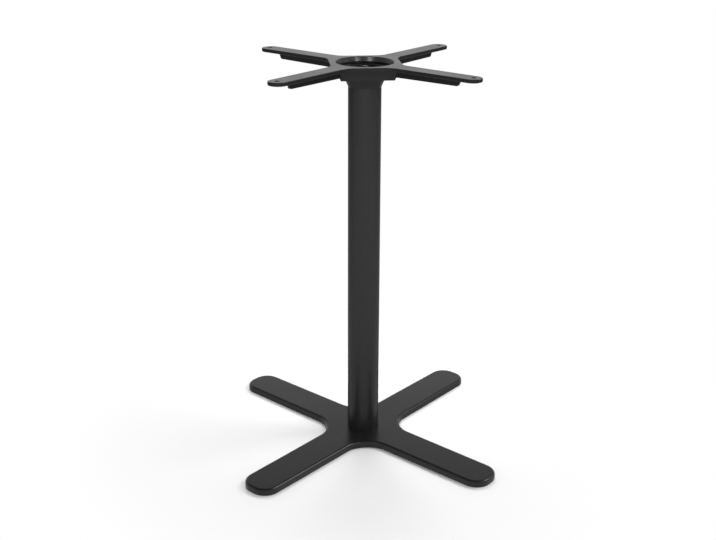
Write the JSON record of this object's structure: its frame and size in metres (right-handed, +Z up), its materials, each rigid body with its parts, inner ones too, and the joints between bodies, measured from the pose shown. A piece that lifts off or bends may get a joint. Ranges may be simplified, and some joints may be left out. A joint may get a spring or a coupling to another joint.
{
  "type": "four star table base",
  "caption": "Pedestal table base: a flat cast foot with radiating legs, a round steel column and a cast top spider drilled to carry a table top.",
  "frame": {"origin": "on the floor, under the column's axis: bottom centre of the bounding box", "axes": "+Z up along the column; the four legs lie along +X, +Y, -X and -Y"},
  "size_m": [0.6122, 0.6122, 0.738],
  "materials": {
    "foot_powder_coat": "satin black powder coat, fine texture, on cast iron",
    "spider_powder_coat": "satin black powder coat, fine texture, on cast iron",
    "column_powder_coat": "satin black powder coat on steel tube",
    "black_oxide": "black oxide on plain steel, lightly oiled",
    "glide_nylon": "black nylon"
  },
  "bodies": {
    "root": {"foot_casting": "foot_powder_coat", "top_spider": "spider_powder_coat", "column_tube": "column_powder_coat", "tie_rod": "black_oxide", "upper_nut": "black_oxide", "upper_lock_washer": "black_oxide", "upper_washer": "black_oxide", "lower_nut": "black_oxide", "lower_lock_washer": "black_oxide", "lower_washer": "black_oxide", "glide_right": "glide_nylon", "glide_back": "glide_nylon", "glide_left": "glide_nylon", "glide_front": "glide_nylon"}
  },
  "joints": []
}
